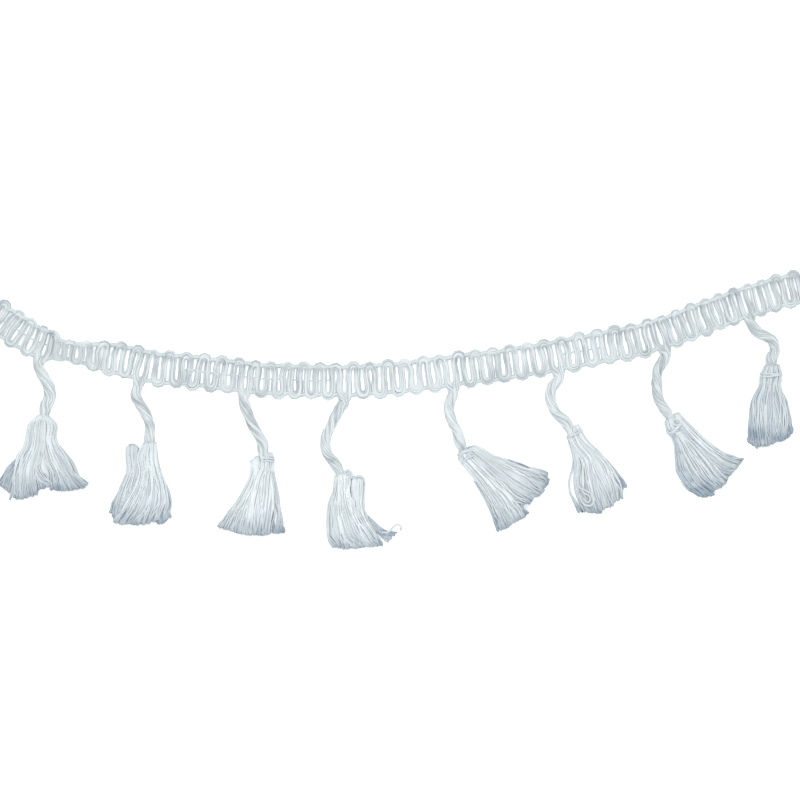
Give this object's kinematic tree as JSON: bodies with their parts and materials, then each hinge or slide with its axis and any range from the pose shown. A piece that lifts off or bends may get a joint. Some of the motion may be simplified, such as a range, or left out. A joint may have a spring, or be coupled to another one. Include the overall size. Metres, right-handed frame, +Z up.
{
  "type": "tassel fringe trim",
  "caption": "Soft cotton trim: a looped cord heading with twisted two-strand drops, each threaded through the folded top of a loose yarn tassel, lying flat in a shallow swag",
  "frame": {"origin": "on the flat underside of the heading, at the leg of cord nearest its middle", "axes": "+X runs along the trim, +Y from the tassels towards the heading's top edge, +Z up off the surface it lies on"},
  "size_m": [0.3348, 0.1131, 0.0125],
  "materials": {
    "cotton_cord": "soft matte bundled cotton yarn, pale cool white",
    "cotton_yarn": "soft matte loose cotton yarn, pale cool white"
  },
  "bodies": {
    "root": {"weft_cord": "cotton_cord", "tassel_1": "cotton_yarn", "tassel_2": "cotton_yarn", "tassel_3": "cotton_yarn", "tassel_4": "cotton_yarn", "tassel_5": "cotton_yarn", "tassel_6": "cotton_yarn", "tassel_7": "cotton_yarn", "tassel_8": "cotton_yarn", "neck_tie_6": "cotton_yarn", "neck_tie_7": "cotton_yarn", "neck_tie_8": "cotton_yarn"}
  },
  "joints": []
}
